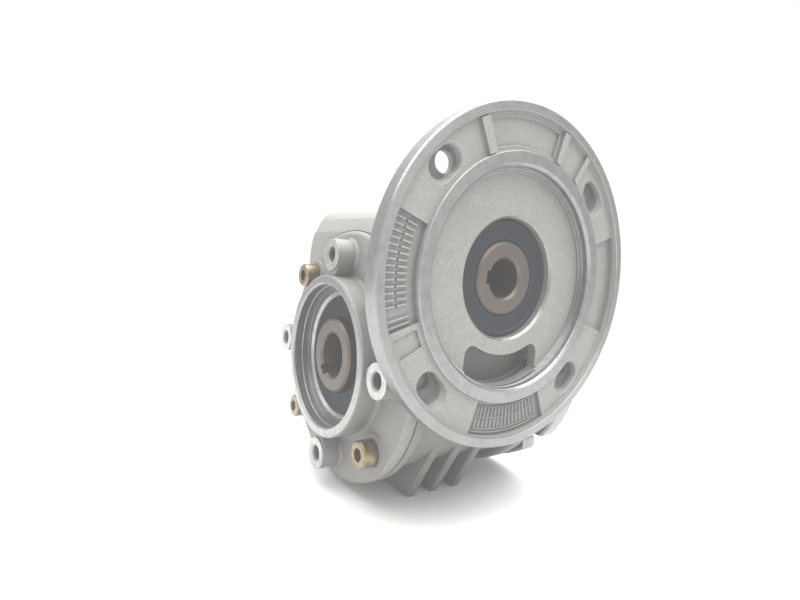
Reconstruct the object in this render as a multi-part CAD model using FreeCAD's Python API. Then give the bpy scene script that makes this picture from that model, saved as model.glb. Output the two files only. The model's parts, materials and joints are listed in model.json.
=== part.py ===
import FreeCAD
import Part
import math
import os

# Worm gear reducer with a round motor flange and a hollow output shaft.
# Origin: middle of the output bore. Output axis along Y, worm axis along X above it, +Z up.
# The cover is on the -Y side, the motor flange on the +X side. Millimetres and degrees.

V = FreeCAD.Vector

# Gear set
center_distance = 63.0
wheel_teeth = 30
worm_quotient = 10.0
pressure_angle = 20.0
flank_relief = 0.16
wheel_face_width = 28.0
wheel_rim_inner_d = 72.0
worm_thread_length = 52.0
rim_screw_d = 6.0
rim_screw_length = 14.0
rim_screw_count = 4
rim_screw_angle = 45.0
root_depth_ratio = 1.2
thread_sink = 0.4

# Clearances
seat_gap = 0.02
running_gap = 0.05
ball_gap = 0.12
flat_gap = 0.3
tiny = 1e-6

# Proportions shared by all screws, bearings and seals
head_chamfer_ratio = 0.06
shank_tip_ratio = 0.1
socket_ratio = 0.47
socket_floor_ratio = 0.45
ball_ratio = 0.6
ball_land_ratio = 0.3
race_chamfer_ratio = 0.04
cage_ribbon_ratio = 0.09
cage_width_ratio = 0.36
seal_heel_ratio = 0.12
seal_web_ratio = 0.3
seal_tail_ratio = 0.2
seal_lip_ratio = 0.55
seal_back_ratio = 0.62

# Hollow output shaft
output_bore = 30.0
output_shaft_d = 50.0
output_shoulder_d = 58.0
output_key_width = 8.0
output_key_depth = 3.3
output_key_angle = 230.0
output_shaft_proud = 5.7
edge_chamfer = 1.5

# Bearings and seals of the output shaft
output_bearing_d = 80.0
output_bearing_width = 16.0
output_bearing_half_span = 37.0
output_ball_count = 12
bearing_lip_width = 2.0
bearing_lip_height = 4.0
output_seal_width = 8.0
output_seal_inset = 1.0

# Pilot rings and tapped bosses on both sides
pilot_bore = 95.0
pilot_depth = 12.0
pilot_step = 0.5
pilot_ring_wall = 6.5
pilot_ring_height = 16.0
pilot_ring_fillet = 2.6
pilot_ring_edge = 1.0
seal_mouth_chamfer = 2.0
boss_circle_d = 136.0
boss_d = 21.0
boss_drop = 1.6
boss_thread_d = 9.0
boss_thread_depth = 17.0
boss_mouth_chamfer = 1.35
boss_neck_width = 5.0
boss_neck_flare = 18.0
boss_neck_lap = 4.7
boss_count = 4
boss_angle = 0.0

# Side cover
cover_screw_circle_d = 142.0
cover_screw_count = 4
cover_screw_angle = 45.0
cover_screw_margin = 14.0
cover_thickness = 6.0
cover_edge_round = 3.0
cover_spigot_depth = 5.0
cover_hub_wall = 6.0
gasket_thickness = 0.5
cover_screw_d = 10.0
cover_screw_grip = 9.0
cover_screw_head_d = 17.0
cover_screw_head_height = 10.0
cover_spot_d = 23.5
cover_spot_height = 1.5
screw_hole_play = 1.0

# Case
wheel_room = 6.6
rim_step = 6.0
case_rim_width = 8.0
case_wall = 10.0
sump_start = 36.0
sump_end = 30.0
far_disc_width = 14.0
foot_height = 13.0
foot_half_length = 40.0
fin_thickness = 6.5
fin_pitch = 20.0
fin_count = 3
fin_round = 1.6
house_front = 50.0
house_side_rise = 21.0
house_slope_in = 4.5
house_slope_rise = 9.5
house_shoulder_half = 38.0
house_roof_wall = 3.0
house_crown_drop = 5.4
house_drop = 34.0
house_bulge = 1.3
house_rear_round = 9.0
pad_height = 0.4
pad_overhang = 4.0
pad_rear = 43.0
house_wall = 9.5
rear_wall = 6.0
house_inner_front = 44.0
house_ceiling_rise = 25.0
arch_gap = 0.5

# Worm shaft and its bearings
input_bore = 24.0
input_bore_floor = 4.85
input_shaft_d = 45.0
input_key_width = 8.0
input_key_depth = 3.3
input_end_inset = 13.0
front_bearing_d = 75.0
front_bearing_width = 16.0
front_ball_count = 11
front_shoulder_d = 52.0
front_shoulder_width = 8.0
rear_journal_d = 30.0
rear_bearing_d = 62.0
rear_bearing_width = 16.0
rear_ball_count = 9
rear_shoulder = 46.0
rear_shoulder_d = 37.0
rear_shoulder_width = 4.0
worm_neck_d = 30.0
worm_neck_length = 6.0
shim_thickness = 0.6
circlip_thickness = 1.7
circlip_depth = 1.5
circlip_height = 4.0
circlip_opening = 40.0
end_cap_width = 8.0
end_cap_wall = 2.5
end_cap_inset = 4.0
tail_gap = 0.7

# Motor flange
flange_gap = 3.5
flange_d = 200.0
flange_rim_width = 5.6
flange_rim_thickness = 10.0
flange_edge = 0.8
flange_draft = 0.9
floor_depth = 3.0
panel_depth = 6.0
ring_wall = 8.1
ring_drop = 1.0
spigot_d = 130.0
spigot_depth = 5.0
recess_depth = 9.0
recess_step = 1.3
flange_plate = 6.0
flange_back_wall = 4.2
flange_cone_wall = 7.6
flange_hub_wall = 6.0
input_seal_d = 72.0
input_seal_width = 10.0
input_seal_inset = 4.5
input_lip_width = 2.5
flange_hole_circle_d = 165.0
flange_hole_d = 12.0
flange_mouth_step = 0.4
flange_mouth_taper = 1.0
flange_mouth_lip = 0.9
flange_mouth_depth = 6.5
flange_mouth_run = 8.0
flange_mouth_floor_run = 4.0
flange_mouth_shift = 1.2
flange_boss_d = 22.0
flange_boss_height = 3.0
flange_boss_gap = 1.0
flange_hole_count = 4
flange_hole_angle = 45.0
slot_width = 16.4
slot_half_ratio = 0.235
slot_lip = 0.4
slot_end_lip = 1.6
slot_round = 6.0
slot_relief = 9.0
rib_height = 2.4
rib_angles_and_widths = ((115.4, 5.2), (73.0, 3.8), (57.8, 3.0))
panel_angles = ((160.5, 200.0), (253.0, 293.0), (340.0, 381.0))
shallow_panel_angles = ((76.0, 112.0), (202.3, 209.8))
shallow_panel_depth = 1.4
shallow_panel_margin = 2.2
o_ring_groove_depth = 2.4
o_ring_groove_width = 3.9
flange_screw_circle_d = 104.0
flange_screw_angles = (0.0, 60.0, 120.0, 180.0)
flange_screw_d = 5.0
flange_screw_engage = 5.0
flange_screw_head_d = 8.5
flange_screw_head_height = 5.0
front_plate_thickness = 10.0
front_plate_margin = 8.0
front_neck_margin = 4.5

# Output flange on the far side
output_flange_d = 171.0
output_flange_thickness = 13.0
output_flange_pilot_d = 115.0
output_flange_pilot_height = 4.0
output_flange_bore = 82.0
output_flange_register = 4.4
output_slot_width = 11.0
output_slot_root_r = 75.0
output_slot_count = 4
output_slot_angle = 45.0
output_slot_flare = 6.0
flange_land = 3.0
flange_low_head_d = 16.0
flange_low_head_height = 5.5

# Oil plugs
plug_thread_d = 14.0
plug_thread_length = 9.0
plug_head_d = 20.0
plug_head_height = 5.0
plug_boss_d = 26.0
plug_boss_height = 4.0
plug_washer = 1.5
plug_hole_reach = 40.0
fill_plug_x = 18.0
level_plug_z = 4.0
drain_plug_z = -38.0

# Worked out from the sizes above: gear set
module = 2 * center_distance / (worm_quotient + wheel_teeth)
worm_pitch_r = module * worm_quotient / 2
worm_tip_r = worm_pitch_r + module
worm_root_r = worm_pitch_r - root_depth_ratio * module
worm_lead = math.pi * module
wheel_pitch_r = module * wheel_teeth / 2
wheel_tip_r = wheel_pitch_r + module
wheel_root_r = wheel_pitch_r - root_depth_ratio * module

# Balls fill the same share of the room between the rings in every bearing
output_ball_d = ball_ratio * (output_bearing_d - output_shaft_d) / 2
front_ball_d = ball_ratio * (front_bearing_d - input_shaft_d) / 2
rear_ball_d = ball_ratio * (rear_bearing_d - rear_journal_d) / 2

# Places along the output axis, counted outward from the middle on either side
bearing_face = output_bearing_half_span + output_bearing_width
seal_seat = bearing_face + bearing_lip_width
seal_face = seal_seat + output_seal_width
recess_floor = seal_face + output_seal_inset
ring_face = recess_floor + pilot_depth
boss_face = ring_face - boss_drop
shaft_end = seal_face + output_shaft_proud
disc_face = ring_face - pilot_ring_height
pilot_land = min(shaft_end + flat_gap, (recess_floor + ring_face) / 2)
seam = disc_face - cover_thickness
case_face = seam - gasket_thickness
far_disc_inner = disc_face - far_disc_width
output_flange_face = boss_face + output_flange_thickness

# Radii about the output axis
output_bearing_r = output_bearing_d / 2
pilot_r = pilot_bore / 2
pilot_ring_r = pilot_r + pilot_ring_wall
boss_circle_r = boss_circle_d / 2
cover_screw_r = cover_screw_circle_d / 2
cover_r = cover_screw_r + cover_screw_margin
case_r = cover_r - rim_step
sump_r = case_r - case_wall
mouth_r = wheel_tip_r + wheel_room
base_z = -(case_r + foot_height)

# Places along the worm axis; the motor flange clears the cover and the output flange
flange_face = max(cover_r, output_flange_d / 2) + flange_gap + flange_rim_thickness
floor_x = flange_face - recess_depth
input_seal_face = floor_x - input_seal_inset
input_seal_seat = input_seal_face - input_seal_width
front_bearing_face = input_seal_seat - input_lip_width
front_shoulder = front_bearing_face - front_bearing_width
input_end = flange_face - input_end_inset
flange_seat = floor_x - flange_plate
flange_hub_end = front_shoulder - bearing_lip_width
flange_hub_r = input_seal_d / 2 + flange_hub_wall
ring_outer_r = spigot_d / 2 + ring_wall
recess_r = spigot_d / 2 - 2 * recess_step
flange_back_r = recess_r + flange_back_wall
flange_cone_r = recess_r + flange_cone_wall
slot_inner_r = recess_r - slot_width
rear_bearing_face = -rear_shoulder - rear_bearing_width
rear_shim_face = rear_bearing_face - shim_thickness
circlip_face = rear_shim_face - circlip_thickness
worm_tail = circlip_face - circlip_depth - edge_chamfer
end_cap_face = worm_tail - tail_gap - end_cap_width
house_rear = end_cap_inset - end_cap_face
house_inner_rear = rear_shoulder - rear_wall
half_thread = worm_thread_length / 2 + module
bore_end = half_thread + input_bore_floor
side_top = center_distance + house_side_rise
crown_top = center_distance + flange_hub_r + house_roof_wall
shoulder_top = crown_top - house_crown_drop
slot_half_width = slot_half_ratio * spigot_d
o_ring_start = (flange_hub_end + flange_seat) / 2
o_ring_groove_r = flange_hub_r - o_ring_groove_depth
cover_screw_seat = disc_face + cover_spot_height

# Middle of a quarter round, counted from its corner as a share of its radius
quarter_middle = 1 - math.sqrt(0.5)


def on_output(r, s):
    return V(r, s, 0)


def on_cover_side(r, s):
    return V(r, -s, 0)


def on_worm(r, s):
    return V(s, 0, center_distance + r)


def in_cross_section(y, z):
    return V(0, y, z)


def outline_face(items, place):
    """Face inside an outline: a pair is a corner, a pair of pairs an arc through the first to the second."""
    edges = []
    last = items[0]
    for item in items[1:]:
        if isinstance(item[0], tuple):
            edges.append(Part.Arc(place(*last), place(*item[0]), place(*item[1])).toShape())
            last = item[1]
        else:
            edges.append(Part.makeLine(place(*last), place(*item)))
            last = item
    edges.append(Part.makeLine(place(*last), place(*items[0])))
    return Part.Face(Part.Wire(edges))


def turned(items, place):
    """Solid of revolution about the axis that the placing function belongs to."""
    face = outline_face(items, place)
    base = place(0, 0)
    return face.revolve(base, place(0, 1) - base, 360)


def rod_y(r, start, end, x=0.0, z=0.0):
    return Part.makeCylinder(r, end - start, V(x, start, z), V(0, 1, 0))


def rod_x(r, start, end, y=0.0, z=center_distance):
    return Part.makeCylinder(r, end - start, V(start, y, z), V(1, 0, 0))


def block(x0, x1, y0, y1, z0, z1):
    return Part.makeBox(x1 - x0, y1 - y0, z1 - z0, V(x0, y0, z0))


def ring_places(radius, count, first):
    """Places on a circle in the plane of the wheel, as x and z."""
    places = []
    for i in range(count):
        turn = math.radians(first + 360.0 * i / count)
        places.append((radius * math.cos(turn), radius * math.sin(turn)))
    return places


def flange_places(radius, angles):
    """Places on a circle about the worm axis, as y and z, angles seen from the motor."""
    places = []
    for angle in angles:
        turn = math.radians(angle)
        places.append((radius * math.cos(turn), center_distance + radius * math.sin(turn)))
    return places


def flange_sector(r0, r1, angle0, angle1, x0, x1):
    """Piece of a ring about the worm axis between two angles seen from the motor."""
    middle = (angle0 + angle1) / 2

    def at(r, angle):
        turn = math.radians(angle)
        return V(x0, r * math.cos(turn), center_distance + r * math.sin(turn))

    edges = [
        Part.Arc(at(r0, angle0), at(r0, middle), at(r0, angle1)).toShape(),
        Part.makeLine(at(r0, angle1), at(r1, angle1)),
        Part.Arc(at(r1, angle1), at(r1, middle), at(r1, angle0)).toShape(),
        Part.makeLine(at(r1, angle0), at(r0, angle0)),
    ]
    return Part.Face(Part.Wire(edges)).extrude(V(x1 - x0, 0, 0))


def flange_window(x0, x1):
    """Slot below the shaft between upright ends, its upper corners rounded and its lower wall bowed."""
    outer_r = spigot_d / 2 - slot_lip
    upper = math.sqrt(slot_inner_r ** 2 - slot_half_width ** 2)
    lower = math.sqrt((spigot_d / 2 - slot_end_lip) ** 2 - slot_half_width ** 2)

    def at(y, drop):
        return V(x0, y, center_distance - drop)

    face = outline_face([
        (-slot_half_width, upper),
        ((0, slot_inner_r), (slot_half_width, upper)),
        (slot_half_width, lower),
        ((0, outer_r), (-slot_half_width, lower)),
    ], at)
    window = face.extrude(V(x1 - x0, 0, 0))
    middle = center_distance - (upper + lower) / 2
    corners = [edge for edge in edges_along(window, V(1, 0, 0)) if edge.CenterOfMass.z > middle]
    return window.makeFillet(slot_round, corners)


def edges_along(shape, axis):
    """Straight edges of a shape that run along an axis."""
    found = []
    for edge in shape.Edges:
        if len(edge.Vertexes) == 2:
            run = edge.Vertexes[1].Point - edge.Vertexes[0].Point
            if run.Length > 0 and run.cross(axis).Length < tiny * run.Length:
                found.append(edge)
    return found


def hex_prism(across, height):
    corner = across / math.sqrt(3)
    points = []
    for i in range(7):
        turn = math.radians(60 * i)
        points.append(V(corner * math.cos(turn), corner * math.sin(turn), 0))
    return Part.Face(Part.makePolygon(points)).extrude(V(0, 0, height))


def cap_screw(d, length, head_d, head_height):
    """Socket head screw along Z: underside of the head at zero, shank downward."""
    chamfer = head_chamfer_ratio * head_d
    tip = shank_tip_ratio * d
    shape = turned([
        (0, -length),
        (d / 2 - tip, -length),
        (d / 2, -length + tip),
        (d / 2, 0),
        (head_d / 2, 0),
        (head_d / 2, head_height - chamfer),
        (head_d / 2 - chamfer, head_height),
        (0, head_height),
    ], lambda r, s: V(r, 0, s))
    hole = hex_prism(socket_ratio * head_d, head_height)
    hole.translate(V(0, 0, socket_floor_ratio * head_height))
    return shape.cut(hole)


def placed(shape, point, direction):
    """Copy of a shape made along Z, moved to a point and turned to a direction."""
    copy = shape.copy()
    copy.Placement = FreeCAD.Placement(point, FreeCAD.Rotation(V(0, 0, 1), direction))
    return copy


def group(shapes):
    return Part.makeCompound(shapes)


def fused(first, others):
    return first.fuse(others).removeSplitter()


# Rolling bearings: sizes in order are bore, outside, width and ball diameters
def bearing_rings(bore, outside, width, ball_d, start, place):
    """Outer ring and inner ring with ball grooves, beginning at a place along the axis."""
    pitch_r = (bore + outside) / 4
    groove_r = ball_d / 2 + ball_gap
    land = ball_land_ratio * ball_d
    middle = start + width / 2
    chamfer = race_chamfer_ratio * width
    half_mouth = math.sqrt(groove_r * groove_r - land * land)
    outer_r = outside / 2 - seat_gap
    inner_r = bore / 2 + seat_gap
    outer = turned([
        (pitch_r + land, start),
        (outer_r - chamfer, start),
        (outer_r, start + chamfer),
        (outer_r, start + width - chamfer),
        (outer_r - chamfer, start + width),
        (pitch_r + land, start + width),
        (pitch_r + land, middle + half_mouth),
        ((pitch_r + groove_r, middle), (pitch_r + land, middle - half_mouth)),
    ], place)
    inner = turned([
        (pitch_r - land, start),
        (inner_r + chamfer, start),
        (inner_r, start + chamfer),
        (inner_r, start + width - chamfer),
        (inner_r + chamfer, start + width),
        (pitch_r - land, start + width),
        (pitch_r - land, middle + half_mouth),
        ((pitch_r - groove_r, middle), (pitch_r - land, middle - half_mouth)),
    ], place)
    return outer, inner


def bearing_balls(bore, outside, width, ball_d, count, start, place):
    """Ball set and the ribbon cage that spaces it."""
    pitch_r = (bore + outside) / 4
    middle = start + width / 2
    base = place(0, 0)
    axis = place(0, 1) - base
    first = place(pitch_r, middle)
    half_ribbon = cage_ribbon_ratio * ball_d
    half_width = cage_width_ratio * width
    cage = turned([
        (pitch_r - half_ribbon, middle - half_width),
        (pitch_r + half_ribbon, middle - half_width),
        (pitch_r + half_ribbon, middle + half_width),
        (pitch_r - half_ribbon, middle + half_width),
    ], place)
    balls = []
    pockets = []
    for i in range(count):
        turn = FreeCAD.Rotation(axis, 360.0 * (i + 0.5) / count)
        point = base + turn.multVec(first - base)
        balls.append(Part.makeSphere(ball_d / 2, point))
        pockets.append(Part.makeSphere(ball_d / 2 + ball_gap, point))
    return group(balls), cage.cut(pockets)


def shaft_seal(shaft_d, outside, width, start, place):
    """Rubber shaft seal whose visible face lies at start + width."""
    lip_r = shaft_d / 2 + running_gap
    outer_r = outside / 2 - seat_gap
    heel = seal_heel_ratio * width
    web_r = lip_r + seal_web_ratio * (outer_r - lip_r)
    tail = start + seal_tail_ratio * width
    back = start + seal_back_ratio * width
    face = start + width
    return turned([
        (lip_r, start + seal_lip_ratio * width),
        (lip_r + heel, tail),
        (web_r, tail),
        (web_r, back),
        (outer_r - 2 * heel, back),
        (outer_r - 2 * heel, start),
        (outer_r, start + heel),
        (outer_r, face - heel),
        (outer_r - heel, face),
        (outer_r - 2 * heel, face),
        (outer_r - 3 * heel, face - heel),
        (web_r + heel, face - heel),
        (web_r, face - heel / 2),
        (lip_r + heel, face - heel / 2),
        (lip_r, face - 3 * heel / 2),
    ], place)


def circlip(inner_r, outer_r, start, thickness):
    """Open spring ring about the worm axis, with its opening upward."""
    ring = rod_x(outer_r, start, start + thickness).cut(rod_x(inner_r, start, start + thickness))
    gap = flange_sector(inner_r / 2, outer_r * 2, 90 - circlip_opening / 2, 90 + circlip_opening / 2,
                        start, start + thickness)
    return ring.cut(gap)


# Output shaft group
def make_output_shaft():
    shaft_r = output_shaft_d / 2
    bore_r = output_bore / 2
    hub_r = wheel_rim_inner_d / 2
    half_hub = wheel_face_width / 2
    shoulder = output_bearing_half_span
    shoulder_r = output_shoulder_d / 2
    half = [
        (shoulder_r, half_hub),
        (shoulder_r, shoulder),
        (shaft_r, shoulder),
        (shaft_r, shaft_end - edge_chamfer),
        (shaft_r - edge_chamfer, shaft_end),
        (bore_r + edge_chamfer, shaft_end),
        (bore_r, shaft_end - edge_chamfer),
    ]
    mirrored = [(r, -s) for r, s in reversed(half)]
    shape = turned([(hub_r, -half_hub), (hub_r, half_hub)] + half + mirrored, on_output)
    half_key = output_key_width / 2
    key = block(0, bore_r + output_key_depth, -shaft_end, shaft_end, -half_key, half_key)
    key.rotate(V(0, 0, 0), V(0, 1, 0), -output_key_angle)
    return shape.cut([key] + rim_screw_holes(seat_gap))


def rim_screw_holes(gap):
    top = wheel_face_width / 2
    holes = []
    for x, z in ring_places(wheel_rim_inner_d / 2, rim_screw_count, rim_screw_angle):
        holes.append(rod_y(rim_screw_d / 2 + gap, top - rim_screw_length - gap, top, x, z))
    return holes


def make_rim_screws():
    return group(rim_screw_holes(0.0))


def wheel_flank_angle(r):
    """Half angle of a wheel tooth at a radius, for an involute thinned by the flank relief."""
    alpha = math.radians(pressure_angle)
    base_r = wheel_pitch_r * math.cos(alpha)
    half_pitch = math.pi / (2 * wheel_teeth) - flank_relief / wheel_pitch_r
    at = math.acos(min(1.0, base_r / max(r, base_r)))
    return half_pitch + (math.tan(alpha) - alpha) - (math.tan(at) - at)


def wheel_section(y, twist):
    """Toothed outline of the wheel in a plane across its axis, a gap at the top when untwisted."""
    def at(r, angle):
        return V(r * math.sin(angle), y, r * math.cos(angle))

    edges = []
    pitch = 2 * math.pi / wheel_teeth
    mid_r = (wheel_root_r + wheel_tip_r) / 2
    half_root = wheel_flank_angle(wheel_root_r)
    half_mid = wheel_flank_angle(mid_r)
    half_tip = wheel_flank_angle(wheel_tip_r)
    for i in range(wheel_teeth):
        c = twist + pitch * (i + 0.5)
        edges.append(Part.Arc(at(wheel_root_r, c - half_root), at(mid_r, c - half_mid),
                              at(wheel_tip_r, c - half_tip)).toShape())
        edges.append(Part.Arc(at(wheel_tip_r, c - half_tip), at(wheel_tip_r, c),
                              at(wheel_tip_r, c + half_tip)).toShape())
        edges.append(Part.Arc(at(wheel_tip_r, c + half_tip), at(mid_r, c + half_mid),
                              at(wheel_root_r, c + half_root)).toShape())
        edges.append(Part.Arc(at(wheel_root_r, c + half_root), at(wheel_root_r, c + pitch / 2),
                              at(wheel_root_r, c + pitch - half_root)).toShape())
    return Part.Wire(edges)


def make_worm_wheel_rim():
    half = wheel_face_width / 2
    twist = half / worm_quotient / wheel_pitch_r
    toothed = Part.makeLoft([wheel_section(-half, -twist), wheel_section(half, twist)], True, True)
    bore = rod_y(wheel_rim_inner_d / 2 + seat_gap, -half, half)
    return toothed.cut([bore] + rim_screw_holes(seat_gap))


def make_output_seal(place):
    return shaft_seal(output_shaft_d, output_bearing_d, output_seal_width, seal_seat, place)


def output_bearing(place):
    sizes = (output_shaft_d, output_bearing_d, output_bearing_width, output_ball_d)
    outer, inner = bearing_rings(*sizes, output_bearing_half_span, place)
    balls, cage = bearing_balls(*sizes, output_ball_count, output_bearing_half_span, place)
    return {"outer_ring": outer, "inner_ring": inner, "balls": balls, "cage": cage}


# Worm group
def make_worm_thread():
    """Single right hand thread about the X axis, its crest at the bottom in the middle of its length."""
    slope = math.tan(math.radians(pressure_angle))
    half_pitch = math.pi * module / 4 - flank_relief
    sunk_r = worm_root_r - thread_sink
    low = half_pitch + (worm_pitch_r - sunk_r) * slope
    high = half_pitch - module * slope
    section = Part.makePolygon([
        V(sunk_r, 0, -low),
        V(worm_tip_r, 0, -high),
        V(worm_tip_r, 0, high),
        V(sunk_r, 0, low),
        V(sunk_r, 0, -low),
    ])
    helix = Part.makeHelix(worm_lead, worm_thread_length, worm_pitch_r)
    thread = Part.Wire(helix).makePipeShell([section], True, True)
    thread.rotate(V(0, 0, 0), V(0, 0, 1), -180.0 * worm_thread_length / worm_lead)
    thread.translate(V(0, 0, -worm_thread_length / 2))
    thread.rotate(V(0, 0, 0), V(0, 1, 0), 90)
    thread.translate(V(0, 0, center_distance))
    return thread


def make_worm_shaft():
    front_r = input_shaft_d / 2
    front_wide = front_shoulder_d / 2
    rear_r = rear_journal_d / 2
    rear_wide = rear_shoulder_d / 2
    neck_r = worm_neck_d / 2
    front_collar = front_shoulder - front_shoulder_width
    rear_collar = -rear_shoulder + rear_shoulder_width
    shape = turned([
        (0, input_end),
        (front_r - edge_chamfer, input_end),
        (front_r, input_end - edge_chamfer),
        (front_r, front_shoulder),
        (front_wide, front_shoulder),
        (front_wide, front_collar),
        (neck_r + (front_wide - neck_r) / 2, half_thread + worm_neck_length),
        (neck_r, half_thread + worm_neck_length / 2),
        (worm_root_r, half_thread),
        (worm_root_r, -half_thread),
        (neck_r, -half_thread - worm_neck_length / 2),
        (rear_wide, rear_collar),
        (rear_wide, -rear_shoulder),
        (rear_r, -rear_shoulder),
        (rear_r, rear_shim_face),
        (rear_r - circlip_depth, rear_shim_face),
        (rear_r - circlip_depth, circlip_face),
        (rear_r, circlip_face),
        (rear_r, worm_tail + edge_chamfer),
        (rear_r - edge_chamfer, worm_tail),
        (0, worm_tail),
    ], on_worm)
    bore_r = input_bore / 2
    bore = turned([
        (0, bore_end),
        (bore_r, bore_end),
        (bore_r, input_end - edge_chamfer),
        (bore_r + edge_chamfer, input_end),
        (0, input_end),
    ], on_worm)
    key = block(bore_end, input_end, -(bore_r + input_key_depth), 0,
                center_distance - input_key_width / 2, center_distance + input_key_width / 2)
    return shape.fuse(make_worm_thread()).cut([bore, key])


def make_input_seal():
    return shaft_seal(input_shaft_d, input_seal_d, input_seal_width, input_seal_seat, on_worm)


def front_bearing():
    sizes = (input_shaft_d, front_bearing_d, front_bearing_width, front_ball_d)
    outer, inner = bearing_rings(*sizes, front_shoulder, on_worm)
    balls, cage = bearing_balls(*sizes, front_ball_count, front_shoulder, on_worm)
    return {"outer_ring": outer, "inner_ring": inner, "balls": balls, "cage": cage}


def rear_bearing():
    sizes = (rear_journal_d, rear_bearing_d, rear_bearing_width, rear_ball_d)
    outer, inner = bearing_rings(*sizes, rear_bearing_face, on_worm)
    balls, cage = bearing_balls(*sizes, rear_ball_count, rear_bearing_face, on_worm)
    return {"outer_ring": outer, "inner_ring": inner, "balls": balls, "cage": cage}


def make_rear_shim():
    """Thin ring between the outer ring of the rear bearing and the circlip of the case."""
    ring_r = rear_bearing_d / 2 - seat_gap
    outer = rod_x(ring_r, rear_shim_face, rear_bearing_face)
    return outer.cut(rod_x(ring_r - circlip_height, rear_shim_face, rear_bearing_face))


def make_rear_spacer():
    """Thin ring between the inner ring of the rear bearing and the circlip of the shaft."""
    ring_r = rear_journal_d / 2 + seat_gap
    outer = rod_x(ring_r + circlip_height, rear_shim_face, rear_bearing_face)
    return outer.cut(rod_x(ring_r, rear_shim_face, rear_bearing_face))


def make_case_circlip():
    outer_r = rear_bearing_d / 2 + circlip_depth - seat_gap
    inner_r = outer_r - circlip_depth - circlip_height
    start = circlip_face + seat_gap
    return circlip(inner_r, outer_r, start, circlip_thickness - 2 * seat_gap)


def make_shaft_circlip():
    inner_r = rear_journal_d / 2 - circlip_depth + seat_gap
    outer_r = inner_r + circlip_depth + circlip_height
    start = circlip_face + seat_gap
    return circlip(inner_r, outer_r, start, circlip_thickness - 2 * seat_gap)


def make_end_cap():
    cap_r = rear_bearing_d / 2 - seat_gap
    inside = end_cap_face + end_cap_width
    return turned([
        (0, end_cap_face),
        (cap_r - edge_chamfer, end_cap_face),
        (cap_r, end_cap_face + edge_chamfer),
        (cap_r, inside),
        (cap_r - end_cap_wall, inside),
        (cap_r - end_cap_wall, end_cap_face + end_cap_wall),
        (0, end_cap_face + end_cap_wall),
    ], on_worm)


# Both sides of the case carry the same pilot ring, bearing seat and tapped bosses
def seat_outline():
    """Bearing seat, lip, seal seat, pilot recess and pilot ring, from the inside to the disc face."""
    bearing_r = output_bearing_r
    lip_r = bearing_r - bearing_lip_height
    chamfer = seal_mouth_chamfer
    fillet = pilot_ring_fillet
    ring_edge = pilot_ring_edge
    middle = quarter_middle * fillet
    return [
        (bearing_r, output_bearing_half_span - bearing_lip_width),
        (bearing_r, bearing_face),
        (lip_r, bearing_face),
        (lip_r, seal_seat),
        (bearing_r, seal_seat),
        (bearing_r, recess_floor - chamfer),
        (bearing_r + chamfer, recess_floor),
        (pilot_r - pilot_step, recess_floor),
        (pilot_r - pilot_step, pilot_land),
        (pilot_r, pilot_land),
        (pilot_r, ring_face - ring_edge),
        (pilot_r + ring_edge, ring_face),
        (pilot_ring_r - ring_edge, ring_face),
        (pilot_ring_r, ring_face - ring_edge),
        (pilot_ring_r, disc_face + fillet),
        ((pilot_ring_r + middle, disc_face + middle), (pilot_ring_r + fillet, disc_face)),
    ]


def side_bosses(place):
    """Tapped bosses beside the pilot ring, each joined to it by a neck."""
    solids = []
    boss_r = boss_d / 2
    for x, z in ring_places(boss_circle_r, boss_count, boss_angle):
        low = place(0, disc_face - cover_thickness / 2)
        high = place(0, boss_face)
        up = high - low
        solids.append(Part.makeCylinder(boss_r, up.Length, V(x, low.y, z), up))
        out = V(x, 0, z).normalize()
        across = V(-z, 0, x).normalize()
        half = boss_neck_width / 2
        wide = boss_neck_flare / 2
        inner = pilot_ring_r - pilot_ring_wall / 2
        outer = boss_circle_r - boss_neck_lap
        corners = [
            out * inner + across * half,
            out * outer + across * wide,
            out * outer - across * wide,
            out * inner - across * half,
        ]
        lifted = [corner + V(0, low.y, 0) for corner in corners]
        neck = Part.Face(Part.makePolygon(lifted + lifted[:1]))
        solids.append(neck.extrude(up * (1 - boss_drop / up.Length)))
    return solids


def boss_holes(place):
    """Tapped holes of the bosses, with a chamfer at the mouth."""
    holes = []
    hole_r = boss_thread_d / 2
    mouth = boss_mouth_chamfer
    start = boss_face - boss_thread_depth
    for x, z in ring_places(boss_circle_r, boss_count, boss_angle):
        hole = turned([
            (0, start),
            (hole_r, start),
            (hole_r, boss_face - mouth),
            (hole_r + mouth, boss_face),
            (0, boss_face),
        ], place)
        hole.translate(V(x, 0, z))
        holes.append(hole)
    return holes


def make_side_cover():
    spigot_r = mouth_r - seat_gap
    hub_r = output_bearing_r + cover_hub_wall
    edge = cover_edge_round
    middle = quarter_middle * edge
    outline = seat_outline() + [
        (cover_r - edge, disc_face),
        ((cover_r - middle, disc_face - middle), (cover_r, disc_face - edge)),
        (cover_r, seam),
        (spigot_r, seam),
        (spigot_r, case_face - cover_spigot_depth),
        (hub_r, case_face - cover_spigot_depth),
        (hub_r, output_bearing_half_span - bearing_lip_width),
    ]
    shape = turned(outline, on_cover_side)
    spots = []
    holes = []
    for x, z in ring_places(cover_screw_r, cover_screw_count, cover_screw_angle):
        spots.append(rod_y(cover_spot_d / 2, -disc_face - cover_spot_height, -seam, x, z))
        holes.append(rod_y((cover_screw_d + screw_hole_play) / 2, -ring_face, -seam, x, z))
    shape = fused(shape, side_bosses(on_cover_side) + spots)
    return shape.cut(holes + boss_holes(on_cover_side))


def make_side_cover_gasket():
    ring = rod_y(cover_r - flat_gap, -seam, -case_face).cut(rod_y(mouth_r + flat_gap, -seam, -case_face))
    holes = []
    for x, z in ring_places(cover_screw_r, cover_screw_count, cover_screw_angle):
        holes.append(rod_y((cover_screw_d + screw_hole_play) / 2, -seam, -case_face, x, z))
    return ring.cut(holes)


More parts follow.
